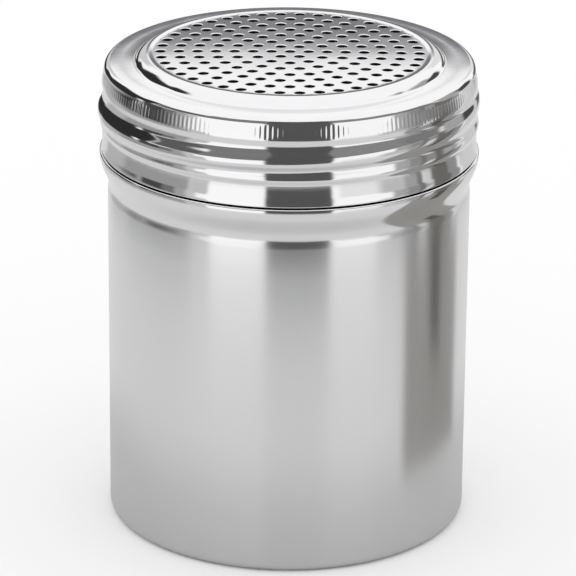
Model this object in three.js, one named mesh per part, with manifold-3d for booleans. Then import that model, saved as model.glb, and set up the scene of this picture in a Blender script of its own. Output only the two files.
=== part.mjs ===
// Screw-top spice dredge in stainless steel: a deep-drawn cup and a perforated screw lid.
// Millimetres, +Z up, origin at the middle of the cup's flat bottom.
import * as THREE from 'three';
import { mergeGeometries, mergeVertices } from 'three/addons/utils/BufferGeometryUtils.js';
import Module from 'manifold-3d';

const wasm = await Module();
wasm.setup();

// Sizes that both pieces share
const sheet = 0.5;             // thickness of the steel sheet
const seatGap = 0.3;           // upright play between the closed lid and what it seats on
const threadGap = 0.3;         // radial play that lets the lid lift straight off

// Cup
const cupHeight = 90.9;        // from the bottom to the rolled rim
const bodyRadius = 35;
const baseCornerRadius = 1.5;
const waistDepth = 0.15;       // shallow groove where the straight wall ends
const waistHeight = 1.6;
const shoulderHeight = 6.4;    // bead under the lid, from the groove up
const shoulderBulge = 1.55;    // how far the bead stands out of the wall
const neckLength = 16.6;       // from the top of the bead to the rim
const neckRadius = 34.5;       // outside of the neck between the turns of its thread
const neckThreadHeight = 0.7;
const neckFootRadius = 0.9;    // fillet between the bead's top and the neck
const rimTaper = 0.4;          // the neck draws in by this much under its rolled rim
const rimTaperHeight = 1.5;
const rimRollRadius = 0.65;

// Screw lid
const plateRise = 1.8;         // the perforated plate stands this high over the ledge
const plateRadius = 27.1;      // flat part of the plate
const plateCornerRadius = 2.8;
const plateSlope = 54;         // degrees, where the plate's edge falls most
const plateFootRadius = 0.8;
const rimCornerRadius = 1.3;
const bandHeight = 2.65;       // knurled grip band, below the rim's corner
const bandLean = 0.45;         // the band narrows upwards by this much
const grooveDepth = 0.2;       // groove between the band and the thread
const grooveHeight = 1.2;
const lidThreadHeight = 1;
const stopBeadBulge = 0.35;    // bead round the skirt where the thread ends
const stopBeadRise = 2;        // height of the bead's upper side
const stopBeadFall = 1.3;      // height of its lower side
const collarHeight = 4.1;      // plain collar below the bead
const collarFlare = 0.4;       // its lower edge stands out by this much
const collarFlareHeight = 1.8;

// Thread rolled into the neck and the lid: right-handed, one ridge that fades in and out
const threadPitch = 5;
const threadTopDrop = 4.65;    // from the cup's rim down to the ridge's upper end
const threadWidth = 5.2;
const threadCrestShare = 0.1;  // flat part of the ridge, as a share of its width
const threadUpperEnd = Math.PI / 2;

// Holes in the plate: one in the middle, then rings that gain as many as the first one has
const holeRadius = 0.93;
const holeRings = 7;
const firstRingHoles = 6;
const plateBorder = 2.32;      // from the outermost holes' centres to the plate's rounded corner

// Steps of the faceted surfaces
const sides = 48;
const holeSides = 6;
const arcSteps = 4;
const threadRows = 8;

// Heights and radii that follow
const turn = 2 * Math.PI;
const shoulderTop = cupHeight - neckLength;
const skirtBottom = shoulderTop + seatGap;
const stopBeadHeight = skirtBottom + collarHeight + stopBeadFall;
const threadTop = cupHeight - threadTopDrop;
const threadTurns = (threadTop - stopBeadHeight) / threadPitch;
const skirtRadius = neckRadius + neckThreadHeight + threadGap + sheet;
const ledgeHeight = cupHeight + seatGap + sheet;
const plateTop = ledgeHeight + plateRise;
const holeRingPitch = (plateRadius - plateBorder) / holeRings;

function point(radius, height) {
  return new THREE.Vector2(radius, height);
}

// Arc about a centre, between two angles in degrees
function arc(radius, height, size, from, to) {
  return Array.from({ length: arcSteps + 1 }, (_, i) => {
    const angle = THREE.MathUtils.degToRad(from + (to - from) * i / arcSteps);
    return point(radius + size * Math.cos(angle), height + size * Math.sin(angle));
  });
}

// Straight stretch that the thread is rolled into, from its top to its foot
function threadStretch(radius, top, foot) {
  return Array.from({ length: threadRows + 1 }, (_, i) =>
    point(radius, top + (foot - top) * i / threadRows));
}

// Wall that swings from one radius to another on its way down, without its first point
function swing(from, to, top, height) {
  return Array.from({ length: arcSteps }, (_, i) => {
    const share = (i + 1) / arcSteps;
    return point(from + (to - from) * THREE.MathUtils.smoothstep(share, 0, 1), top - height * share);
  });
}

// The outline's other side, one sheet thickness to the right of the way it runs
function innerSide(outline) {
  const last = outline.length - 1;
  return outline.map((here, i) => {
    const after = outline[Math.min(i + 1, last)].clone().sub(outline[Math.min(i, last - 1)]);
    const before = outline[Math.max(i, 1)].clone().sub(outline[Math.max(i - 1, 0)]);
    const way = before.normalize().clone().add(after.normalize()).normalize();
    return point(way.y, -way.x).multiplyScalar(sheet / way.dot(before)).add(here);
  });
}

// How far the thread's ridge is risen at a place, from 0 to 1
function threadRise(angle, height) {
  const length = turn * threadTurns;
  let most = 0;
  const first = THREE.MathUtils.euclideanModulo(threadUpperEnd - angle, turn);
  for (let along = first; along < length; along += turn) {
    const centre = threadTop - threadPitch * along / turn;
    const off = Math.abs(height - centre) / (threadWidth / 2);
    const flank = THREE.MathUtils.smoothstep(1 - off, 0, 1 - threadCrestShare);
    const fade = 1 - (2 * along / length - 1) ** 2;
    most = Math.max(most, flank * fade);
  }
  return most;
}

// Closed outline turned round the axis, with the thread pressed outwards in it
function turned(outline, threadHeight) {
  const lathe = new THREE.LatheGeometry(outline, sides).rotateX(Math.PI / 2);
  const body = joined(lathe);
  const place = body.getAttribute('position');
  for (let i = 0; i < place.count; i++) {
    const [x, y, z] = [place.getX(i), place.getY(i), place.getZ(i)];
    const radius = Math.hypot(x, y);
    if (radius < neckRadius / 2) continue;
    const grow = 1 + threadHeight * threadRise(Math.atan2(y, x), z) / radius;
    place.setXY(i, x * grow, y * grow);
  }
  return body;
}

// Places alone, shared between the triangles, without the flat triangles at the axis
function joined(geometry) {
  geometry.deleteAttribute('normal');
  geometry.deleteAttribute('uv');
  const body = mergeVertices(geometry);
  const index = body.index.array;
  const kept = [];
  for (let i = 0; i < index.length; i += 3) {
    const [a, b, c] = index.subarray(i, i + 3);
    if (a !== b && b !== c && c !== a) kept.push(a, b, c);
  }
  body.setIndex(kept);
  return body;
}

function solid(geometry) {
  const body = joined(geometry);
  return new wasm.Manifold(new wasm.Mesh({
    numProp: 3,
    vertProperties: Float32Array.from(body.getAttribute('position').array),
    triVerts: Uint32Array.from(body.index.array),
  }));
}

function geometryOf(manifold) {
  const mesh = manifold.getMesh();
  const geometry = new THREE.BufferGeometry();
  geometry.setAttribute('position', new THREE.BufferAttribute(mesh.vertProperties, 3));
  geometry.setIndex(new THREE.BufferAttribute(mesh.triVerts, 1));
  return geometry;
}

function named(name, geometry, look) {
  const mesh = new THREE.Mesh(geometry, new THREE.MeshStandardMaterial(look));
  mesh.name = name;
  return mesh;
}

// Bead under the lid, from its top down to the groove, as shares of its bulge and height
function shoulderBead(waistRadius, waistTop) {
  const beadShares = [[0.9, 0.95], [1, 0.8], [0.96, 0.62], [0.65, 0.38], [0.25, 0.16], [0, 0]];
  return beadShares.map(([out, up]) =>
    point(waistRadius + (waistDepth + shoulderBulge) * out, waistTop + shoulderHeight * up));
}

function makeCup() {
  const waistRadius = bodyRadius - waistDepth;
  const waistTop = shoulderTop - shoulderHeight;
  const rollRadius = neckRadius - rimTaper;
  const rollHeight = cupHeight - rimRollRadius;
  const rollFoot = rollHeight - rimRollRadius;
  const corner = bodyRadius - baseCornerRadius;
  const outside = [
    point(rollRadius + sheet / 2, rollFoot),
    ...threadStretch(neckRadius, rollFoot - rimTaperHeight, stopBeadHeight - threadWidth / 2),
    ...arc(neckRadius + neckFootRadius, shoulderTop + neckFootRadius, neckFootRadius, 180, 270),
    ...shoulderBead(waistRadius, waistTop),
    point(bodyRadius, waistTop - waistHeight),
    ...arc(corner, baseCornerRadius, baseCornerRadius, 0, -90),
    point(0, 0),
  ];
  const roll = arc(rollRadius, rollHeight, rimRollRadius, -40, 220);
  const outline = [...outside.toReversed(), ...roll, ...innerSide(outside)];
  return named('cup', turned(outline, neckThreadHeight),
    { color: 0xbfbfc1, roughness: 0.35, metalness: 1 });
}

// The lid's outside, from the middle of the plate to the skirt's lower edge
function lidOutside() {
  const slope = THREE.MathUtils.degToRad(plateSlope);
  const rounded = plateCornerRadius + plateFootRadius;
  const straightFall = plateRise - rounded * (1 - Math.cos(slope));
  const footMiddle = plateRadius + rounded * Math.sin(slope) + straightFall / Math.tan(slope);
  const bandTopRadius = skirtRadius - bandLean;
  const rimMiddle = bandTopRadius - rimCornerRadius;
  const bandTop = ledgeHeight - rimCornerRadius;
  const bandBottom = bandTop - bandHeight;
  const beadRadius = skirtRadius + stopBeadBulge;
  const beadTop = stopBeadHeight + stopBeadRise;
  const flareTop = skirtBottom + collarFlareHeight;
  return [
    point(0, plateTop),
    ...arc(plateRadius, plateTop - plateCornerRadius, plateCornerRadius, 90, 90 - plateSlope),
    ...arc(footMiddle, ledgeHeight + plateFootRadius, plateFootRadius, 270 - plateSlope, 270),
    ...arc(rimMiddle, bandTop, rimCornerRadius, 90, 0),
    point(skirtRadius, bandBottom),
    point(skirtRadius - grooveDepth, bandBottom - grooveHeight / 2),
    ...threadStretch(skirtRadius, bandBottom - grooveHeight, beadTop),
    ...swing(skirtRadius, beadRadius, beadTop, stopBeadRise),
    ...swing(beadRadius, skirtRadius, stopBeadHeight, stopBeadFall),
    point(skirtRadius, flareTop),
    ...swing(skirtRadius, skirtRadius + collarFlare, flareTop, collarFlareHeight),
  ];
}

// Pins that punch the plate's holes
function holePins() {
  const pins = [];
  for (let ring = 0; ring <= holeRings; ring++) {
    const count = Math.max(1, firstRingHoles * ring);
    for (let i = 0; i < count; i++) {
      const angle = turn * i / count;
      const pin = new THREE.CylinderGeometry(holeRadius, holeRadius, 3 * sheet, holeSides);
      pin.rotateX(Math.PI / 2);
      pin.translate(ring * holeRingPitch * Math.cos(angle),
        ring * holeRingPitch * Math.sin(angle), plateTop - sheet / 2);
      pins.push(pin);
    }
  }
  return mergeGeometries(pins);
}

function makeScrewLid() {
  const outside = lidOutside();
  const outline = [...innerSide(outside), ...outside.toReversed()];
  const blank = solid(turned(outline, lidThreadHeight));
  return named('screw_lid', geometryOf(blank.subtract(solid(holePins()))),
    { color: 0xd4d4d6, roughness: 0.08, metalness: 1 });
}

const dredge = new THREE.Group();
dredge.add(makeCup(), makeScrewLid());
export default dredge;
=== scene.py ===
"""Screw-top spice dredge: a satin steel cup with a polished, perforated screw lid.

Lengths are metres, +Z is up, and the cup stands on the origin.
"""
import math

import bpy
from bpy.props import FloatProperty, FloatVectorProperty, IntProperty, PointerProperty
from bpy.types import Operator, Panel, PropertyGroup
from mathutils import Euler, Matrix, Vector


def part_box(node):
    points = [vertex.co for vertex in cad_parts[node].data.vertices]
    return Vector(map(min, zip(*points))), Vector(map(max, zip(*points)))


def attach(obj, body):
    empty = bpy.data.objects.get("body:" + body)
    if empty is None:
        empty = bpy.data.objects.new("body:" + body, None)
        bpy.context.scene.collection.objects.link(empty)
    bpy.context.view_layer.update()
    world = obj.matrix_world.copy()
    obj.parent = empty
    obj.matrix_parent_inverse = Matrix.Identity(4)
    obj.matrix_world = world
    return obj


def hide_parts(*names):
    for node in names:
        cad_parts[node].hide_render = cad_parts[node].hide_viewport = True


bl_info = {
    "name": "Spice Dredge",
    "version": (1, 0, 0),
    "blender": (4, 5, 0),
    "location": "3D View > Sidebar > Dredge",
    "description": "Builds a steel spice dredge with a perforated screw lid",
    "category": "Add Mesh",
}

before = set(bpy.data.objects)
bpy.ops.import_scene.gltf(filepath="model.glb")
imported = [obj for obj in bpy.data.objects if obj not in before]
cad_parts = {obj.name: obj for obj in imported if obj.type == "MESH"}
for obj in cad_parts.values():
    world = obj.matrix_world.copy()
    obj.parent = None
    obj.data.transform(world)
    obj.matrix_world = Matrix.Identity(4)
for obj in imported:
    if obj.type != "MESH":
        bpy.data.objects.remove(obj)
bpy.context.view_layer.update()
lid_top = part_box("screw_lid")[1].z

FULL_TURN = 2 * math.pi
TINY = 1e-5

# Rows of faces across each stretch of the cup's section
BOTTOM_ROWS = 12
BASE_CORNER_ROWS = 8
WALL_ROWS = 12
WAIST_ROWS = 6
SHOULDER_ROWS = 16
SHOULDER_CORNER_ROWS = 5
NECK_FOOT_ROWS = 6
RIM_ROLL_ROWS = 10

# Rows of faces across each stretch of the lid's section
WELT_ROWS = 5
PLATE_CORNER_ROWS = 12
PLATE_FOOT_ROWS = 8
RIM_ROWS = 12
BAND_ROWS = 6
GROOVE_FALL_ROWS = 8
GROOVE_RISE_ROWS = 10
STOP_BEAD_ROWS = 8
COLLAR_ROWS = 2
FLARE_ROWS = 6
LIP_ROWS = 3

# Where the arcs of the rolled rim and of the lid's rim end, in degrees over the level
RIM_ROLL_END = -50
RIM_END = 8

# Columns of faces across one knurled rib
RIB_COLUMNS = 4

# The ribs are worn by this share of their height, in two waves round the band
RIB_WEAR = 0.25
RIB_WAVES = (3, 11)

# Edges flatter than the first are shaded smooth; edges sharper than the second are the lip's
SMOOTH_BELOW = math.radians(50)
SHARP_FROM = math.radians(60)


def length(name, text, default):
    """A size in metres that a user may change."""
    return FloatProperty(
        name=name, description=text, default=default, unit="LENGTH", precision=5)


def share(name, text, default):
    """A number from 0 to 1 that a user may change."""
    return FloatProperty(name=name, description=text, default=default, min=0, max=1)


def count(name, text, default):
    """A number of things that a user may change."""
    return IntProperty(name=name, description=text, default=default, min=1)


def colour(name, text, default):
    """A colour that a user may change."""
    return FloatVectorProperty(
        name=name, description=text, default=default, subtype="COLOR", min=0, max=1)


def angle(name, text, default):
    """An angle that a user may change, with its default in degrees."""
    return FloatProperty(
        name=name, description=text, default=math.radians(default), subtype="ANGLE")


class SheetSizes(PropertyGroup):
    """Sizes that the cup and the lid share."""
    thickness: length("Sheet", "Thickness of the steel", 0.0005)
    seat_gap: length("Seat gap", "Play between the lid and what it seats on", 0.0003)
    neck_radius: length("Neck radius", "Outside of the neck between its threads", 0.0345)
    thread_pitch: length("Thread pitch", "Rise of the thread in one turn", 0.005)
    thread_top_drop: length("Thread top", "From the cup's rim down to the thread's upper end", 0.0048)
    thread_width: length("Thread width", "Width of the rolled ridge", 0.0052)
    thread_crest: share("Thread crest", "Flat part of the ridge, as a share of its width", 0.1)
    thread_rows: count("Thread rows", "Rows of faces across the thread", 19)
    around: count("Sides", "Columns of faces round the walls", 320)


class CupSizes(PropertyGroup):
    """Sizes of the drawn cup."""
    body_radius: length("Body radius", "Outside of the straight wall", 0.035)
    base_corner: length("Base corner", "Outer radius between the wall and the bottom", 0.0017)
    waist_depth: length("Waist depth", "Groove where the straight wall ends", 0.00015)
    waist_height: length("Waist height", "Height of that groove", 0.0016)
    shoulder_height: length("Shoulder height", "Bead under the lid", 0.0068)
    shoulder_rise: share("Shoulder rise", "Share of the bead's height in which it swells", 0.9)
    shoulder_bulge: length("Shoulder bulge", "How far the bead stands out of the wall", 0.00155)
    shoulder_corner: length("Shoulder corner", "Rounding over the bead's top edge", 0.0003)
    neck_length: length("Neck length", "From the bead's top to the rim", 0.0166)
    neck_foot: length("Neck foot", "Fillet between the bead and the neck", 0.0009)
    neck_thread: length("Neck thread", "Height of the ridge rolled into the neck", 0.0007)
    rim_taper: length("Rim taper", "The neck draws in by this much under the rim", 0.0004)
    rim_taper_height: length("Rim taper height", "Height of that taper", 0.0015)
    rim_roll: length("Rim roll", "Outer radius of the rolled rim", 0.00065)


class LidSizes(PropertyGroup):
    """Sizes of the pressed lid."""
    plate_drop: length("Plate drop", "The plate's border lies this much under its middle", 0.0002)
    plate_flat: length("Plate flat", "Radius of the perforated part", 0.0262)
    welt_width: length("Welt width", "Width of the low welt round the perforated part", 0.0009)
    welt_height: length("Welt height", "Height of that welt", 0.00007)
    plate_corner: length("Plate corner", "Rounding of the plate's edge", 0.0028)
    plate_slope: angle("Plate slope", "Steepest slope of the plate's edge", 54)
    plate_rise: length("Plate rise", "The plate's middle stands this high over the ledge", 0.0018)
    plate_foot: length("Plate foot", "Fillet between the plate's edge and the ledge", 0.0008)
    rim_corner: length("Rim corner", "Rounding of the rim", 0.0013)
    band_height: length("Grip band", "Height of the knurled band", 0.00265)
    band_lean: length("Band lean", "The band narrows upwards by this much", 0.00045)
    ribs: count("Ribs", "Knurled ribs round the band", 240)
    rib_height: length("Rib height", "How far the ribs stand out", 0.00005)
    groove_depth: length("Groove depth", "Groove between the band and the thread", 0.0002)
    groove_fall: length("Groove fall", "Height of the groove's upper side", 0.0016)
    groove_rise: length("Groove rise", "Height of the groove's lower side", 0.0036)
    lid_thread: length("Lid thread", "Height of the ridge rolled into the lid", 0.00087)
    bead_bulge: length("Stop bead", "Bead round the skirt where the thread ends", 0.00035)
    bead_rise: length("Stop bead rise", "Height of the bead's upper side", 0.002)
    bead_fall: length("Stop bead fall", "Height of the bead's lower side", 0.0013)
    collar_height: length("Collar", "Plain collar below the bead", 0.0041)
    collar_flare: length("Collar flare", "Its lower edge stands out by this much", 0.0002)
    collar_flare_height: length("Flare height", "Height of the flare", 0.0018)
    thread_gap: length("Thread gap", "Play between the neck's thread and the lid", 0.0003)
    lip_round: length("Lip", "Rounding of the lower edge", 0.00012)
    hole_radius: length("Hole radius", "Radius of a punched hole", 0.00097)
    hole_round: length("Hole edge", "Rounding of a hole's upper edge", 0.00018)
    hole_margin: length("Hole margin", "Flat ring kept round a hole", 0.00005)
    ring_pitch: length("Ring pitch", "Distance between two rings of holes", 0.00354)
    rings: count("Rings", "Rings of holes round the middle one", 7)
    first_ring: count("First ring", "Holes in the first ring", 6)
    hole_sides: count("Hole sides", "Columns of faces in a hole", 16)


class SteelFinish(PropertyGroup):
    """Colours and polish of the two steels, and the painted shade of the holes' walls."""
    satin: colour("Satin steel", "Colour of the brushed cup", (0.845, 0.845, 0.85))
    satin_roughness: share("Satin roughness", "How far the brushed wall blurs", 0.18)
    polished: colour("Polished steel", "Colour of the mirror-like lid", (0.83, 0.83, 0.84))
    polish_roughness: share("Polish roughness", "How far the polished steel blurs", 0.08)
    # Near-black colour of the holes' walls: painted shade that makes the punched holes look dark
    painted_hole_shade: colour("Sheared steel", "Colour of the punched holes' walls", (0.05, 0.05, 0.05))
    sheared_roughness: share("Sheared roughness", "How far the holes' walls blur", 0.6)


class StudioSetting(PropertyGroup):
    """The floor and the light."""
    floor_radius: length("Floor radius", "Radius of the pale floor", 3.0)
    mirrored_floor: length("Mirrored floor", "Steel mirrors the floor out to this far", 0.24)
    floor: colour("Floor", "Colour of the floor in the steel's mirror", (0.76, 0.76, 0.76))
    # Painted shadow: in the steel's mirror the floor is darker close to the dredge
    painted_floor_shadow: colour("Floor foot", "The same, close to the dredge", (0.6, 0.6, 0.6))
    # Painted reflection: the lane and its darker stripe colour the floor only for the steel, as a
    # dark band in the cup's wall
    lane: colour("Lane", "Brownish lane on the floor that the steel mirrors", (0.33, 0.32, 0.305))
    lane_foot: length("Lane foot", "Distance from the axis where the lane begins", 0.069)
    lane_left: angle("Lane left", "Azimuth of the wall that mirrors the lane's left edge", 40)
    lane_right: angle("Lane right", "Azimuth of the wall that mirrors its right edge", 67.5)
    stripe_foot: length("Stripe foot", "Distance from the axis where its darker stripe begins", 0.125)
    stripe_left: angle("Stripe left", "Azimuth that mirrors the stripe's left edge", 51.5)
    stripe_right: angle("Stripe right", "Azimuth that mirrors the stripe's right edge", 56.5)
    light: colour("Light", "Colour of the soft light", (1.0, 1.0, 1.0))


def arc(radius, height, size, start, end, steps):
    """Points of an arc in the section, about a centre, between two angles in degrees."""
    turns = [math.radians(start + (end - start) * i / steps) for i in range(steps + 1)]
    return [(radius + size * math.cos(turn), height + size * math.sin(turn)) for turn in turns]


def stretch(radius, top, foot, steps):
    """Points straight down the wall."""
    return [(radius, top + (foot - top) * i / steps) for i in range(steps + 1)]


def smooth(value):
    """Eases a number from 0 to 1."""
    value = min(max(value, 0), 1)
    return value * value * (3 - 2 * value)


def swing(start, end, top, height, steps):
    """Points of a wall that swings from one radius to another; a negative height leads up."""
    shares = [(i + 1) / steps for i in range(steps)]
    return [(start + (end - start) * smooth(part), top - height * part) for part in shares]


def leave_edit_mode():
    """Back to object mode with nothing selected."""
    if bpy.context.object and bpy.context.object.mode != "OBJECT":
        bpy.ops.object.mode_set(mode="OBJECT")
    bpy.ops.object.select_all(action="DESELECT")


def pick(*pieces):
    """Selects these pieces alone; the last one is active."""
    leave_edit_mode()
    for piece in pieces:
        piece.select_set(True)
        bpy.context.view_layer.objects.active = piece


def edit(piece):
    """Edit mode with the whole piece selected."""
    pick(piece)
    bpy.ops.object.mode_set(mode="EDIT")
    bpy.ops.mesh.select_all(action="SELECT")


def settle(piece):
    """Puts the piece's place into its mesh."""
    pick(piece)
    bpy.ops.object.transform_apply(location=True, rotation=True, scale=True)
    return piece


def join(name, *pieces):
    """Makes one piece of several."""
    pick(*pieces)
    bpy.ops.object.join()
    piece = bpy.context.object
    piece.name = name
    piece.data.name = name
    return piece


def modify(piece, kind, **settings):
    """Adds a modifier and applies it."""
    pick(piece)
    bpy.ops.object.modifier_add(type=kind)
    modifier = piece.modifiers[-1]
    for key, value in settings.items():
        setattr(modifier, key, value)
    bpy.ops.object.modifier_apply(modifier=modifier.name)


def spun(name, section, steps):
    """Draws a section from point to point and turns it once round the axis."""
    leave_edit_mode()
    bpy.ops.mesh.primitive_plane_add(size=TINY)
    piece = bpy.context.object
    piece.name = name
    edit(piece)
    bpy.ops.mesh.merge(type="CENTER")
    bpy.ops.transform.translate(value=(section[0][0], 0, section[0][1]))
    for here, there in zip(section, section[1:]):
        step = (there[0] - here[0], 0, there[1] - here[1])
        bpy.ops.mesh.extrude_vertices_move(TRANSFORM_OT_translate={"value": step})
    bpy.ops.mesh.select_all(action="SELECT")
    bpy.ops.mesh.spin(steps=steps, angle=FULL_TURN, center=(0, 0, 0), axis=(0, 0, 1))
    bpy.ops.mesh.select_all(action="SELECT")
    bpy.ops.mesh.remove_doubles(threshold=TINY / 4)
    face_outwards(piece)
    return piece


def face_outwards(piece):
    """Turns every face of a piece outwards, judged by the wall's faces on an open sheet."""
    edit(piece)
    bpy.ops.mesh.normals_make_consistent(inside=False)
    bpy.ops.object.mode_set(mode="OBJECT")
    outward = sum(face.area * face.normal.xy.dot(face.center.xy) for face in piece.data.polygons)
    if outward < 0:
        edit(piece)
        bpy.ops.mesh.flip_normals()
    leave_edit_mode()


def border_edges(piece):
    """The pairs of points of each edge that has only one face."""
    faces = {}
    for face in piece.data.polygons:
        for key in face.edge_keys:
            faces[key] = faces.get(key, 0) + 1
    return {key for key, count in faces.items() if count == 1}


def press(piece, name, height, weight_at, direction="NORMAL"):
    """Presses part of the sheet by a height, weighted at each point by weight_at."""
    group = piece.vertex_groups.new(name=name)
    for point in piece.data.vertices:
        weight = weight_at(point.co)
        if weight > 0:
            group.add([point.index], weight, "REPLACE")
    modify(piece, "DISPLACE", direction=direction, mid_level=0, strength=height, vertex_group=name)
    piece.vertex_groups.remove(piece.vertex_groups[name])


def cup_rim():
    """Height of the cup's rolled rim, just under the lid's ledge."""
    sheet = bpy.context.scene.dredge_sheet
    return ledge_height() - sheet.thickness - sheet.seat_gap


def bead_top():
    """Height of the bead's upper side, which the lid's skirt seats on."""
    return cup_rim() - bpy.context.scene.dredge_cup.neck_length


def skirt_foot():
    """Height of the lid's lower edge."""
    return bead_top() + bpy.context.scene.dredge_sheet.seat_gap


def thread_stretch():
    """Heights of the thread's upper end and of the lid's bead that it runs down to."""
    sheet = bpy.context.scene.dredge_sheet
    lid = bpy.context.scene.dredge_lid
    return cup_rim() - sheet.thread_top_drop, skirt_foot() + lid.collar_height + lid.bead_fall


def thread_rise(place):
    """How far the right-handed ridge has risen at a place, from 0 to 1."""
    sheet = bpy.context.scene.dredge_sheet
    top, foot = thread_stretch()
    turns = (top - foot) / sheet.thread_pitch
    most = 0
    along = (FULL_TURN / 4 - math.atan2(place.y, place.x)) % FULL_TURN / FULL_TURN
    while along < turns:
        centre = top - sheet.thread_pitch * along
        off = abs(place.z - centre) / (sheet.thread_width / 2)
        flank = smooth((1 - off) / (1 - sheet.thread_crest))
        most = max(most, flank * (1 - (2 * along / turns - 1) ** 2))
        along += 1
    return most


def give_thickness(piece):
    """Gives the sheet its thickness on its inner side."""
    sheet = bpy.context.scene.dredge_sheet
    modify(
        piece, "SOLIDIFY", thickness=sheet.thickness, offset=-1, use_even_offset=True, use_rim=True)


def finish_piece(piece, body, node, material):
    """Shading, material and the place of a piece in the frame."""
    settle(piece)
    bpy.ops.object.shade_smooth_by_angle(angle=SMOOTH_BELOW)
    piece.data.materials.clear()
    piece.data.materials.append(material)
    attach(piece, body)
    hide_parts(node)
    leave_edit_mode()


def check_closed(piece):
    """Stops when a piece is left open."""
    holes = len(border_edges(piece))
    if holes:
        raise RuntimeError(f"{piece.name} has {holes} open edges")


def cup_section():
    """Outside of the cup, from the middle of its bottom to its rolled rim."""
    sheet = bpy.context.scene.dredge_sheet
    cup = bpy.context.scene.dredge_cup
    corner = cup.body_radius - cup.base_corner
    shoulder_top = bead_top()
    waist_top = shoulder_top - cup.shoulder_height
    waist_foot = waist_top - cup.waist_height
    waist_radius = cup.body_radius - cup.waist_depth
    bead_radius = cup.body_radius + cup.shoulder_bulge
    swell = cup.shoulder_height * cup.shoulder_rise
    edge = cup.shoulder_corner
    foot = cup.neck_foot
    taper_foot = cup_rim() - 2 * cup.rim_roll - cup.rim_taper_height
    roll = cup.rim_roll - sheet.thickness
    roll_height = cup_rim() - cup.rim_roll
    roll_radius = sheet.neck_radius - cup.rim_taper

    section = [(corner * i / BOTTOM_ROWS, 0) for i in range(BOTTOM_ROWS)]
    section += arc(corner, cup.base_corner, cup.base_corner, -90, 0, BASE_CORNER_ROWS)
    section += stretch(cup.body_radius, cup.base_corner, waist_foot, WALL_ROWS)[1:]
    section += swing(cup.body_radius, waist_radius, waist_foot, -cup.waist_height, WAIST_ROWS)
    section += swing(waist_radius, bead_radius, waist_top, -swell, SHOULDER_ROWS)
    section += arc(bead_radius - edge, shoulder_top - edge, edge, 0, 90, SHOULDER_CORNER_ROWS)
    section += arc(sheet.neck_radius + foot, shoulder_top + foot, foot, 270, 180, NECK_FOOT_ROWS)
    section += stretch(sheet.neck_radius, shoulder_top + 2 * foot, taper_foot, sheet.thread_rows)
    section += [(roll_radius, taper_foot + cup.rim_taper_height), (roll_radius, roll_height)]
    section += arc(roll_radius + roll, roll_height, roll, 180, RIM_ROLL_END, RIM_ROLL_ROWS)[1:]
    return section


class DREDGE_OT_cup(Operator):
    """Makes the deep-drawn cup with its bead, threaded neck and rolled rim"""
    bl_idname = "dredge.make_cup"
    bl_label = "Cup"

    def execute(self, context):
        sheet = context.scene.dredge_sheet
        cup = spun("cup_shell", cup_section(), sheet.around)
        press(cup, "thread", context.scene.dredge_cup.neck_thread, neck_thread)
        give_thickness(cup)
        check_closed(cup)
        finish_piece(cup, "cup", "cup", satin_steel())
        return {"FINISHED"}


def neck_thread(place):
    """The thread's ridge on the neck, and nothing on the wall below it."""
    sheet = bpy.context.scene.dredge_sheet
    outside = math.hypot(place.x, place.y) > sheet.neck_radius - TINY
    return thread_rise(place) if outside else 0


def plate_border():
    """Radius and height of the circle where the perforated plate meets the pressed rim."""
    lid = bpy.context.scene.dredge_lid
    return lid.plate_flat, ledge_height() + lid.plate_rise - lid.plate_drop


def ledge_height():
    """Height of the ledge round the plate."""
    return lid_top - bpy.context.scene.dredge_lid.plate_rise


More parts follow.
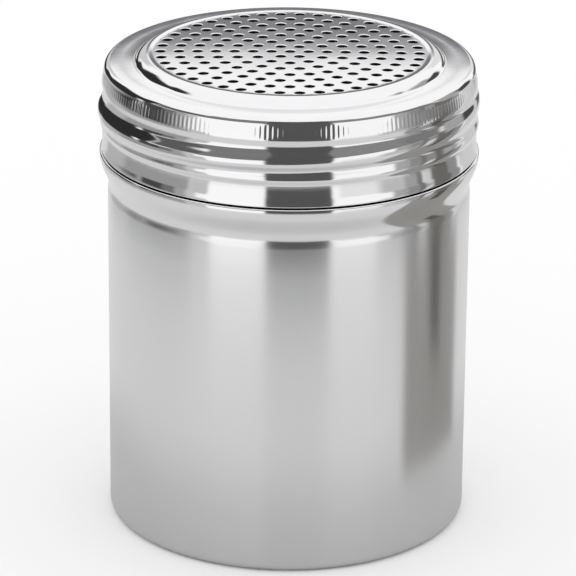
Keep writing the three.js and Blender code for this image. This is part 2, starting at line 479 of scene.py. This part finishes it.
def lid_sections():
    """Outside of the lid from the plate's border down: rim, grip band and skirt."""
    sheet = bpy.context.scene.dredge_sheet
    lid = bpy.context.scene.dredge_lid
    cup = bpy.context.scene.dredge_cup
    flat, plate = plate_border()
    ledge = ledge_height()
    skirt = sheet.neck_radius + cup.neck_thread + lid.thread_gap + sheet.thickness
    band_top_radius = skirt - lid.band_lean
    rim_middle = band_top_radius - lid.rim_corner
    band_top = ledge - lid.rim_corner
    band_foot = band_top - lid.band_height
    slope = math.degrees(lid.plate_slope)

    crest = flat + lid.welt_width
    corner_height = plate + lid.welt_height - lid.plate_corner
    corner = arc(crest, corner_height, lid.plate_corner, 90, 90 - slope, PLATE_CORNER_ROWS)
    shares = [i / WELT_ROWS for i in range(WELT_ROWS)]
    welt = [
        (flat + lid.welt_width * part, plate + lid.welt_height * smooth(part)) for part in shares
    ]
    foot_height = ledge + lid.plate_foot
    fall = corner[-1][1] - (foot_height - lid.plate_foot * math.cos(lid.plate_slope))
    run = fall / math.tan(lid.plate_slope)
    foot_radius = corner[-1][0] + run + lid.plate_foot * math.sin(lid.plate_slope)
    foot = arc(foot_radius, foot_height, lid.plate_foot, 270 - slope, 270, PLATE_FOOT_ROWS)
    middle = ((foot_radius + rim_middle) / 2, ledge)
    rim = welt + corner + foot + [middle]
    rim += arc(rim_middle, band_top, lid.rim_corner, 90, RIM_END, RIM_ROWS)

    shares = [i / BAND_ROWS for i in range(BAND_ROWS + 1)]
    band = [
        (band_top_radius + lid.band_lean * part, band_top - lid.band_height * part)
        for part in shares
    ]

    groove = skirt - lid.groove_depth
    groove_middle = band_foot - lid.groove_fall
    groove_foot = groove_middle - lid.groove_rise
    bead = skirt + lid.bead_bulge
    bead_crest = thread_stretch()[1]
    bead_head = bead_crest + lid.bead_rise
    bead_foot = bead_crest - lid.bead_fall
    flare = skirt + lid.collar_flare
    flare_top = skirt_foot() + lid.collar_flare_height
    wall = swing(skirt, groove, band_foot, lid.groove_fall, GROOVE_FALL_ROWS)
    wall += swing(groove, skirt, groove_middle, lid.groove_rise, GROOVE_RISE_ROWS)
    wall += stretch(skirt, groove_foot, bead_head, sheet.thread_rows)[1:]
    wall += swing(skirt, bead, bead_head, lid.bead_rise, STOP_BEAD_ROWS)
    wall += swing(bead, skirt, bead_crest, lid.bead_fall, STOP_BEAD_ROWS)
    wall += stretch(skirt, bead_foot, flare_top, COLLAR_ROWS)[1:]
    wall += swing(skirt, flare, flare_top, lid.collar_flare_height, FLARE_ROWS)
    return rim, band, wall


def rib_rise(place):
    """Knurled ribs, which fade out at the band's upper and lower edge and are worn unevenly."""
    lid = bpy.context.scene.dredge_lid
    top = ledge_height() - lid.rim_corner
    fade = lid.band_height / BAND_ROWS
    edge = smooth((top - place.z) / fade) * smooth((place.z - top + lid.band_height) / fade)
    turn = math.atan2(place.y, place.x)
    slow, quick = RIB_WAVES
    wear = 1 - RIB_WEAR + RIB_WEAR * math.sin(slow * turn + 1) * math.sin(quick * turn)
    return edge * wear * (1 + math.cos(lid.ribs * turn)) / 2


def pick_border(piece, heights, reach):
    """Edit mode with the open edges selected that lie next to these heights."""
    borders = border_edges(piece)
    edit(piece)
    bpy.ops.mesh.select_mode(type="EDGE")
    bpy.ops.mesh.select_all(action="DESELECT")
    bpy.ops.object.mode_set(mode="OBJECT")
    points = piece.data.vertices
    for line in piece.data.edges:
        height = points[line.vertices[0]].co.z
        near = min(abs(height - wanted) for wanted in heights) < reach
        line.select = near and tuple(sorted(line.vertices)) in borders
    bpy.ops.object.mode_set(mode="EDIT")


def bridge(piece, first_height, second_height):
    """Closes the strip between the two open circles next to these heights."""
    reach = bpy.context.scene.dredge_sheet.thickness / 4
    pick_border(piece, (first_height, second_height), reach)
    bpy.ops.mesh.bridge_edge_loops()
    leave_edit_mode()


def open_plate(piece):
    """Takes away the strip of sheet edge that would close the plate's border."""
    flat, plate = plate_border()
    thickness = bpy.context.scene.dredge_sheet.thickness
    edit(piece)
    bpy.ops.mesh.select_mode(type="FACE")
    bpy.ops.mesh.select_all(action="DESELECT")
    bpy.ops.object.mode_set(mode="OBJECT")
    for face in piece.data.polygons:
        place = face.center
        inside = math.hypot(place.x, place.y) < flat + TINY
        face.select = inside and abs(place.z - plate + thickness / 2) < thickness / 4
    bpy.ops.object.mode_set(mode="EDIT")
    bpy.ops.mesh.delete(type="FACE")
    leave_edit_mode()


def round_lip(piece):
    """Rounds the two sharp edges of the skirt's lower end."""
    lid = bpy.context.scene.dredge_lid
    limit = skirt_foot() + lid.collar_flare_height / 4
    edit(piece)
    bpy.ops.mesh.select_mode(type="EDGE")
    bpy.ops.mesh.select_all(action="DESELECT")
    bpy.ops.mesh.edges_select_sharp(sharpness=SHARP_FROM)
    bpy.ops.object.mode_set(mode="OBJECT")
    points = piece.data.vertices
    for line in piece.data.edges:
        line.select = line.select and points[line.vertices[0]].co.z < limit
    bpy.ops.object.mode_set(mode="EDIT")
    bpy.ops.mesh.bevel(offset=lid.lip_round, segments=LIP_ROWS, affect="EDGES")
    leave_edit_mode()


def punched_hole():
    """One hole: a flat ring on the plate, a rounded upper edge and the wall through the sheet."""
    lid = bpy.context.scene.dredge_lid
    plate = plate_border()[1]
    thickness = bpy.context.scene.dredge_sheet.thickness
    edge = lid.hole_radius + lid.hole_round
    start = edge + lid.hole_margin
    leave_edit_mode()
    bpy.ops.mesh.primitive_circle_add(vertices=lid.hole_sides, radius=start, location=(0, 0, plate))
    hole = settle(bpy.context.object)
    edit(hole)
    radius = start
    wall_edge = lid.hole_round / 3
    rows = (
        (edge, 0),
        (lid.hole_radius, lid.hole_round),
        (lid.hole_radius, wall_edge),
        (lid.hole_radius, thickness - lid.hole_round - wall_edge),
    )
    for there, drop in rows:
        bpy.ops.mesh.extrude_region_move(TRANSFORM_OT_translate={"value": (0, 0, -drop)})
        scale = there / radius
        bpy.ops.transform.resize(value=(scale, scale, 1), center_override=(0, 0, plate))
        radius = there
    leave_edit_mode()
    return hole


def all_holes():
    """Copies of the hole in rings round the middle one."""
    lid = bpy.context.scene.dredge_lid
    holes = [punched_hole()]
    for ring in range(1, lid.rings + 1):
        radius = ring * lid.ring_pitch
        in_ring = lid.first_ring * ring
        for i in range(in_ring):
            turn = FULL_TURN * i / in_ring
            pick(holes[0])
            bpy.ops.object.duplicate()
            copy = bpy.context.object
            copy.location = (radius * math.cos(turn), radius * math.sin(turn), 0)
            holes.append(copy)
    return holes


def fill_plate(piece, height):
    """Fills the sheet between the plate's border and the holes at one height."""
    pick_border(piece, (height,), TINY)
    bpy.ops.mesh.fill(use_beauty=True)
    leave_edit_mode()


def plate_dome(place):
    """The perforated plate is crowned: highest in the middle, level at its border."""
    flat, plate = plate_border()
    thickness = bpy.context.scene.dredge_sheet.thickness
    if place.z < plate - thickness - TINY:
        return 0
    return max(0, 1 - (place.x ** 2 + place.y ** 2) / flat ** 2)


class DREDGE_OT_screw_lid(Operator):
    """Makes the pressed lid with its punched plate, grip band and rolled thread"""
    bl_idname = "dredge.make_screw_lid"
    bl_label = "Screw lid"

    def execute(self, context):
        sheet = context.scene.dredge_sheet
        sizes = context.scene.dredge_lid
        rim, band, skirt = lid_sections()
        parts = [
            spun("rim", rim, sheet.around),
            spun("band", band, RIB_COLUMNS * sizes.ribs),
            spun("skirt", skirt, sheet.around),
        ]
        press(parts[1], "ribs", sizes.rib_height, rib_rise)
        for part in parts[1:]:
            press(part, "thread", sizes.lid_thread, thread_rise)
        lid = join("lid_shell", *parts)
        bridge(lid, rim[-1][1], band[0][1])
        bridge(lid, band[-1][1], skirt[0][1])
        face_outwards(lid)
        give_thickness(lid)
        open_plate(lid)
        round_lip(lid)
        plate = plate_border()[1]
        lid = join("lid_shell", *all_holes(), lid)
        fill_plate(lid, plate)
        fill_plate(lid, plate - sheet.thickness)
        face_outwards(lid)
        check_closed(lid)
        press(lid, "dome", sizes.plate_drop, plate_dome, direction="Z")
        finish_piece(lid, "lid", "screw_lid", polished_steel())
        return {"FINISHED"}


class Nodes:
    """Adds and links the nodes of a material or of the world."""

    def __init__(self, tree):
        self.tree = tree
        tree.nodes.clear()

    def add(self, kind, settings=None, **inputs):
        """A new node with its settings, and values or links on its sockets."""
        node = self.tree.nodes.new(kind)
        for key, value in (settings or {}).items():
            setattr(node, key, value)
        for key, value in inputs.items():
            self.put(node, key.replace("_", " "), value)
        return node

    def put(self, node, socket, value):
        """Links another node's output to a socket, or sets the socket's own value."""
        if isinstance(value, bpy.types.NodeSocket):
            self.tree.links.new(value, node.inputs[socket])
        else:
            node.inputs[socket].default_value = value

    def maths(self, operation, *values):
        """The result of a sum, product or other operation."""
        node = self.tree.nodes.new("ShaderNodeMath")
        node.operation = operation
        for i, value in enumerate(values):
            self.put(node, i, value)
        return node.outputs[0]

    def ramp(self, value, low, high, from_value=0.0, to_value=1.0):
        """A soft step of a value between two limits."""
        node = self.tree.nodes.new("ShaderNodeMapRange")
        node.interpolation_type = "SMOOTHSTEP"
        for socket, number in (("Value", value), ("From Min", low), ("From Max", high),
                               ("To Min", from_value), ("To Max", to_value)):
            self.put(node, socket, number)
        return node.outputs["Result"]

    def between(self, factor, first, second):
        """A number between two numbers."""
        node = self.tree.nodes.new("ShaderNodeMix")
        for socket, value in ((0, factor), (2, first), (3, second)):
            self.put(node, socket, value)
        return node.outputs[0]

    def mix(self, factor, first, second):
        """A colour between two colours."""
        node = self.tree.nodes.new("ShaderNodeMix")
        node.data_type = "RGBA"
        self.tree.links.new(factor, node.inputs["Factor"])
        for name, value in (("A", first), ("B", second)):
            socket = [s for s in node.inputs if s.name == name and s.type == "RGBA"][0]
            if isinstance(value, bpy.types.NodeSocket):
                self.tree.links.new(value, socket)
            else:
                socket.default_value = (*value, 1) if len(value) == 3 else value
        return [s for s in node.outputs if s.type == "RGBA"][0]


def new_material(name):
    """A material with an empty node tree."""
    material = bpy.data.materials.new(name)
    material.use_nodes = True
    return material, Nodes(material.node_tree)


def object_place(nodes):
    """The three parts of a place on the piece."""
    place = nodes.add("ShaderNodeTexCoord").outputs["Object"]
    return nodes.add("ShaderNodeSeparateXYZ", Vector=place)


def across_squared(nodes, place):
    """Square of a place's distance from the axis."""
    beside = nodes.maths("POWER", place.outputs["X"], 2.0)
    behind = nodes.maths("POWER", place.outputs["Y"], 2.0)
    return nodes.maths("ADD", beside, behind)


# Grain of the steels: how often it changes in a metre, round the axis and upwards, and its detail
BRUSHING = (25.0, 4500.0, 3.0)
CLOUD = (60.0, 35.0, 3.0)
WEAR = (180.0, 1400.0, 5.0)
RIPPLE = (70.0, 260.0, 1.0)
GRAIN = (1100.0, 1100.0, 3.0)

# Strength of the relief that each of them gives, and its depth in metres
BRUSHING_RELIEF = (0.05, 0.00002)
WEAR_RELIEF = (0.06, 0.00003)
GRAIN_RELIEF = (0.06, 0.00002)
RIPPLE_RELIEF = (0.25, 0.0001)

# How much each of them adds to the blur, and the colour's share that is left where it is darkest
BRUSHING_BLUR = 0.06
CLOUD_BLUR = 0.05
WEAR_BLUR = 0.06
CLOUD_SHADE = 0.93
WEAR_SHADE = 0.96

# Turning draws out the blur by these shares; a quarter turn makes it run up and down
SATIN_STREAK = 0.5
POLISH_STREAK = 0.3
STREAK_TURN = 0.25


def turned_pattern(nodes, around, upward, detail):
    """Noise drawn out round the axis, as brushing and wear lie on a turned piece."""
    place = nodes.add("ShaderNodeTexCoord").outputs["Object"]
    stretched = nodes.add("ShaderNodeMapping", Vector=place, Scale=(around, around, upward))
    noise = nodes.add(
        "ShaderNodeTexNoise", Vector=stretched.outputs["Vector"], Scale=1.0, Detail=detail)
    return noise.outputs["Fac"]


def relief(nodes, pattern, strength, depth, under=None):
    """Raises the surface by a pattern, over another relief if there is one."""
    bump = nodes.add("ShaderNodeBump", Strength=strength, Distance=depth, Height=pattern)
    if under is not None:
        nodes.put(bump, "Normal", under)
    return bump.outputs["Normal"]


def steel_shader(nodes, colour_value, roughness, normal, anisotropy):
    """The metal shader, whose blur is drawn out up and down by brushing round the axis."""
    tangent = nodes.add("ShaderNodeTangent", {"direction_type": "RADIAL", "axis": "Z"})
    shader = nodes.add("ShaderNodeBsdfPrincipled")
    for socket, value in (("Base Color", colour_value), ("Metallic", 1.0), ("Roughness", roughness),
                          ("Anisotropic", anisotropy), ("Anisotropic Rotation", STREAK_TURN),
                          ("Tangent", tangent.outputs["Tangent"]), ("Normal", normal)):
        nodes.put(shader, socket, value)
    nodes.add("ShaderNodeOutputMaterial", Surface=shader.outputs["BSDF"])


def satin_steel():
    """Brushed steel on the straight wall, turning to polish on the pressed bead and neck."""
    finish = bpy.context.scene.dredge_finish
    cup = bpy.context.scene.dredge_cup
    material, nodes = new_material("satin_steel")
    height = object_place(nodes).outputs["Z"]
    wall_top = bead_top() - cup.shoulder_height
    polish = nodes.ramp(height, wall_top - cup.waist_height, wall_top + cup.waist_height)
    brushing = turned_pattern(nodes, *BRUSHING)
    cloud = turned_pattern(nodes, *CLOUD)
    least = finish.satin_roughness - BRUSHING_BLUR / 2
    rough = nodes.maths("MULTIPLY_ADD", brushing, BRUSHING_BLUR, least)
    rough = nodes.maths("MULTIPLY_ADD", cloud, CLOUD_BLUR, rough)
    rough = nodes.between(polish, rough, finish.polish_roughness)
    shade = nodes.mix(cloud, [CLOUD_SHADE * part for part in finish.satin], list(finish.satin))
    normal = relief(nodes, brushing, *BRUSHING_RELIEF)
    steel_shader(nodes, shade, rough, normal, SATIN_STREAK)
    return material


def hole_wall_and_shade(nodes):
    """Marks the walls of the punched holes, by their depth under the crowned plate, for their
    roughness and their painted shade.
    """
    lid = bpy.context.scene.dredge_lid
    thickness = bpy.context.scene.dredge_sheet.thickness
    flat, plate = plate_border()
    place = object_place(nodes)
    across = across_squared(nodes, place)
    crown = -lid.plate_drop / flat ** 2
    surface = nodes.maths("MULTIPLY_ADD", across, crown, plate + lid.plate_drop)
    depth = nodes.maths("SUBTRACT", surface, place.outputs["Z"])
    inside = nodes.maths("LESS_THAN", across, flat ** 2)
    upper = nodes.ramp(depth, lid.hole_round / 2, lid.hole_round)
    wall_foot = thickness - lid.hole_round / 2
    lower = nodes.ramp(depth, wall_foot, wall_foot + lid.hole_round / 4, 1.0, 0.0)
    return nodes.maths("MULTIPLY", nodes.maths("MULTIPLY", upper, lower), inside)


def polished_steel():
    """Mirror-polished steel with the faint ripples of pressing and fine wear, and painted shade on
    the holes' walls.
    """
    finish = bpy.context.scene.dredge_finish
    material, nodes = new_material("polished_steel")
    wear = turned_pattern(nodes, *WEAR)
    grain = turned_pattern(nodes, *GRAIN)
    ripple = turned_pattern(nodes, *RIPPLE)
    wall = hole_wall_and_shade(nodes)
    rough = nodes.maths("MULTIPLY_ADD", wear, WEAR_BLUR, finish.polish_roughness - WEAR_BLUR / 2)
    rough = nodes.between(wall, rough, finish.sheared_roughness)
    shade = nodes.mix(wear, [WEAR_SHADE * part for part in finish.polished], list(finish.polished))
    # Painted shade: the holes' walls take the near-black colour
    shade = nodes.mix(wall, shade, list(finish.painted_hole_shade))
    normal = relief(nodes, wear, *WEAR_RELIEF)
    normal = relief(nodes, grain, *GRAIN_RELIEF, under=normal)
    normal = relief(nodes, ripple, *RIPPLE_RELIEF, under=normal)
    steel_shader(nodes, shade, rough, normal, POLISH_STREAK)
    return material


class Zone:
    """A soft-edged part of the studio that the steel mirrors, with its middle and half width
    round the dredge and its lower and upper end over the level, in degrees. Azimuth 0 is in
    front and 90 at the right. The level is its brightness, where 1 is white."""

    def __init__(self, azimuth, half_width, low, high, level, soft=4.0, tint=(1.0, 1.0, 1.0)):
        self.azimuth = azimuth
        self.half_width = half_width
        self.low = low
        self.high = high
        self.soft = soft
        self.colour = [level * part for part in tint]


# The studio is this bright outside its zones; a zone lies over the ones before it
STUDIO_LEVEL = 1.12
STUDIO = (
    # From low down up to the level, for the upright walls, the bead and the band
    Zone(0, 181, -91, -50, 0.6, 6),
    Zone(180, 32, -50, -8, 0.74),
    Zone(-135, 16, -50, -3, 0.5),
    Zone(-92, 30, -62, -5, 0.36),
    Zone(-56, 7, -50, -8, 0.6, 3),
    Zone(-32, 18, -50, 12, 1.15, 1.5),
    Zone(45, 14, -50, -14, 0.92, 2),
    Zone(66, 9, -50, -10, 0.58),
    Zone(82, 8, -50, -8, 0.4, 3),
    Zone(120, 6, -50, -8, 0.3, 2),
    Zone(142, 14, -50, -3, 0.68, 3),
    Zone(70, 5, -12, 8, 0.45, 2),
    Zone(96, 22, -12, 8, 0.3, 3),
    Zone(94, 3.5, -50, -8, 0.7, 1.5),
    Zone(87, 2, -34, 20, 0.2, 1.2),
    Zone(106, 9, -50, 10, 0.17, 2, (1.0, 0.95, 0.88)),
    # Near the level behind and at the left, for the plate, its slope and the rim
    Zone(180, 12, -9, 17.65, 0.2, 0.5, (1.0, 0.97, 1.05)),
    Zone(-165, 8, 5, 24, 0.68, 2),
    Zone(165, 8, 5, 24, 0.85, 2),
    Zone(-160, 9, -14, 4, 0.03, 1.5),
    Zone(160, 9, -14, 4, 0.13, 1.5),
    Zone(-61, 4, -12, 12, 0.65, 2),
    Zone(-69, 5, -12, 12, 0.4, 3),
    Zone(-77, 5, -12, 8, 0.18, 2),
    Zone(-90, 9, -12, 8, 0.07, 2),
    Zone(-145, 9, -10, 14, 0.03, 2),
    Zone(-124, 20, -10, 32, 0.03, 3),
    # Higher up all round, for the thread, the groove and the rim
    Zone(-102, 10, 6, 40, 0.03, 3),
    Zone(-73, 18, 12, 37, 0.12, 2),
    Zone(-44, 13, 6, 46, 0.22, 2),
    Zone(-18, 18, 6, 48, 0.22, 2),
    Zone(30, 16, 9, 47, 0.27, 2),
    Zone(60, 16, 9, 42, 0.27, 2),
    Zone(88, 14, 8, 36, 0.22, 3),
    Zone(118, 14, -6, 30, 0.42, 3),
    Zone(134, 9, -6, 20, 0.07, 2),
    # Dark in front, from low down to high up
    Zone(6, 20, -45, 49, 0.1, 1.5),
)


def studio_world():
    """White for the camera, plain for the floor, and the studio's zones in the steel's mirror."""
    setting = bpy.context.scene.dredge_studio
    world = bpy.data.worlds.new("studio")
    bpy.context.scene.world = world
    world.use_nodes = True
    # The light is even, so the world needs no sampling as a lamp
    world.cycles.sampling_method = "NONE"
    nodes = Nodes(world.node_tree)
    way = nodes.add("ShaderNodeTexCoord").outputs["Generated"]
    parts = nodes.add("ShaderNodeSeparateXYZ", Vector=way)
    right, away, up = (parts.outputs[name] for name in "XYZ")
    front = nodes.maths("MULTIPLY", away, -1.0)
    azimuth = nodes.maths("DEGREES", nodes.maths("ARCTAN2", right, front))
    elevation = nodes.maths("DEGREES", nodes.maths("ARCSINE", up))
    seen = nodes.add("ShaderNodeRGB").outputs[0]
    seen.default_value = (STUDIO_LEVEL, STUDIO_LEVEL, STUDIO_LEVEL, 1)
    for zone in STUDIO:
        aside = nodes.maths("SUBTRACT", azimuth, zone.azimuth)
        aside = nodes.maths("ABSOLUTE", nodes.maths("WRAP", aside, 180.0, -180.0))
        soft = zone.soft
        inside = nodes.ramp(aside, zone.half_width - soft, zone.half_width + soft, 1.0, 0.0)
        over = nodes.ramp(elevation, zone.low - soft, zone.low + soft)
        under = nodes.ramp(elevation, zone.high - soft, zone.high + soft, 1.0, 0.0)
        share_of_zone = nodes.maths("MULTIPLY", nodes.maths("MULTIPLY", inside, over), under)
        seen = nodes.mix(share_of_zone, seen, zone.colour)
    path = nodes.add("ShaderNodeLightPath")
    # Light that reaches the floor by way of the steel stays plain
    direct = nodes.maths("LESS_THAN", path.outputs["Diffuse Depth"], 0.5)
    mirrored = nodes.maths("MULTIPLY", path.outputs["Is Glossy Ray"], direct)
    shown = nodes.mix(mirrored, list(setting.light), seen)
    background = nodes.add("ShaderNodeBackground", Color=shown, Strength=1.0)
    nodes.add("ShaderNodeOutputWorld", Surface=background.outputs["Background"])


# Softness of the lane's edges, and the share of its colour that its darker stripe keeps; both are
# painted reflection
LANE_SOFT = 0.003
STRIPE_SHADE = 0.3

# Distances from the axis between which the mirrored floor pales, as its painted shadow round the
# dredge fades out
FLOOR_PALES = (0.055, 0.1)

# The mirrored floor fades out from this share of its reach, and is this clear close by
FLOOR_FADE = 0.69
FLOOR_CLEAR = 0.03

# Sides of the round floor
FLOOR_SIDES = 96


def painted_reflection_patch(nodes, place, distance, left, right, foot):
    """Marks the floor that the cup's wall mirrors between two azimuths, from a distance on, for a
    painted reflection.
    """
    radius = bpy.context.scene.dredge_cup.body_radius
    marked = nodes.ramp(distance, foot - LANE_SOFT, foot + LANE_SOFT)
    for turn, ends in ((left, (0.0, 1.0)), (right, (1.0, 0.0))):
        start = radius * math.sin(turn)
        across = nodes.maths("MULTIPLY_ADD", place.outputs["Y"], math.sin(2 * turn), start)
        across = nodes.maths("MULTIPLY_ADD", place.outputs["X"], math.cos(2 * turn), across)
        side = nodes.ramp(across, -LANE_SOFT, LANE_SOFT, *ends)
        marked = nodes.maths("MULTIPLY", marked, side)
    return marked


def floor_material():
    """Pale floor that keeps the dredge's shadow; steel mirrors it only close by, with painted shade.
    """
    setting = bpy.context.scene.dredge_studio
    material, nodes = new_material("pale_floor")
    path = nodes.add("ShaderNodeLightPath")
    place = object_place(nodes)
    distance = nodes.maths("SQRT", across_squared(nodes, place))
    # Painted shadow: the mirrored floor is darker close to the dredge
    pale = nodes.ramp(distance, *FLOOR_PALES)
    mirrored = nodes.mix(pale, list(setting.painted_floor_shadow), list(setting.floor))
    # Painted reflection: a brownish lane and a darker stripe, seen only in the steel
    lane = painted_reflection_patch(
        nodes, place, distance, setting.lane_left, setting.lane_right, setting.lane_foot)
    mirrored = nodes.mix(lane, mirrored, list(setting.lane))
    stripe = painted_reflection_patch(
        nodes, place, distance, setting.stripe_left, setting.stripe_right, setting.stripe_foot)
    mirrored = nodes.mix(stripe, mirrored, [STRIPE_SHADE * part for part in setting.lane])
    shade = nodes.mix(path.outputs["Is Camera Ray"], mirrored, list(setting.light))
    matt = nodes.add("ShaderNodeBsdfDiffuse", Color=shade)
    clear = nodes.add("ShaderNodeBsdfTransparent")
    reach = setting.mirrored_floor
    far = nodes.ramp(distance, FLOOR_FADE * reach, reach, FLOOR_CLEAR)
    gone = nodes.maths("MULTIPLY", far, path.outputs["Is Glossy Ray"])
    mixed = nodes.add("ShaderNodeMixShader")
    nodes.put(mixed, 0, gone)
    nodes.put(mixed, 1, matt.outputs["BSDF"])
    nodes.put(mixed, 2, clear.outputs["BSDF"])
    nodes.add("ShaderNodeOutputMaterial", Surface=mixed.outputs["Shader"])
    return material


# The camera as it was fitted to the dredge's ellipses; the lens and sensor are in millimetres
CAMERA_PLACE = (0.0, -0.71493, 0.32042)
CAMERA_DOWN = math.radians(21.0716)
CAMERA_ROLL = math.radians(0.5112)
CAMERA_LENS = 244.84
CAMERA_SENSOR = 36.0
CAMERA_REACH = 20.0


def studio_camera():
    """The camera at the photograph's place, with its long lens."""
    leave_edit_mode()
    look = Euler((math.pi / 2 - CAMERA_DOWN, 0, 0)).to_matrix()
    turn = look @ Matrix.Rotation(CAMERA_ROLL, 3, "Z")
    bpy.ops.object.camera_add(location=CAMERA_PLACE, rotation=turn.to_euler())
    camera = bpy.context.object
    camera.name = "camera"
    camera.data.lens = CAMERA_LENS
    camera.data.sensor_width = CAMERA_SENSOR
    camera.data.clip_end = CAMERA_REACH
    bpy.context.scene.camera = camera


class DREDGE_OT_stage(Operator):
    """Sets up the pale floor, the soft studio and the camera"""
    bl_idname = "dredge.make_stage"
    bl_label = "Stage"

    def execute(self, context):
        setting = context.scene.dredge_studio
        leave_edit_mode()
        bpy.ops.mesh.primitive_circle_add(
            vertices=FLOOR_SIDES, radius=setting.floor_radius, fill_type="NGON")
        floor = bpy.context.object
        floor.name = "floor"
        floor.data.materials.append(floor_material())
        studio_world()
        studio_camera()
        context.scene.view_settings.view_transform = "Standard"
        return {"FINISHED"}


class DREDGE_PT_panel(Panel):
    """Sidebar panel that lists the pieces of the dredge"""
    bl_label = "Spice Dredge"
    bl_idname = "DREDGE_PT_panel"
    bl_space_type = "VIEW_3D"
    bl_region_type = "UI"
    bl_category = "Dredge"

    def draw(self, context):
        for operator in OPERATORS:
            self.layout.operator(operator.bl_idname)
        for name in GROUPS:
            box = self.layout.box()
            group = getattr(context.scene, name)
            for key in group.bl_rna.properties.keys():
                if key not in ("name", "rna_type"):
                    box.prop(group, key)


OPERATORS = (DREDGE_OT_cup, DREDGE_OT_screw_lid, DREDGE_OT_stage)
GROUPS = {
    "dredge_sheet": SheetSizes,
    "dredge_cup": CupSizes,
    "dredge_lid": LidSizes,
    "dredge_finish": SteelFinish,
    "dredge_studio": StudioSetting,
}


def register():
    """Makes the classes and the groups of sizes known to Blender."""
    for kind in (*GROUPS.values(), *OPERATORS, DREDGE_PT_panel):
        bpy.utils.register_class(kind)
    for name, group in GROUPS.items():
        setattr(bpy.types.Scene, name, PointerProperty(type=group))


def unregister():
    """Takes the groups of sizes and the classes out again."""
    for name in GROUPS:
        delattr(bpy.types.Scene, name)
    for kind in reversed((*GROUPS.values(), *OPERATORS, DREDGE_PT_panel)):
        bpy.utils.unregister_class(kind)


def main():
    """Builds the dredge and its studio."""
    register()
    bpy.ops.dredge.make_cup()
    bpy.ops.dredge.make_screw_lid()
    bpy.ops.dredge.make_stage()
    leave_edit_mode()


if __name__ == "__main__":
    main()
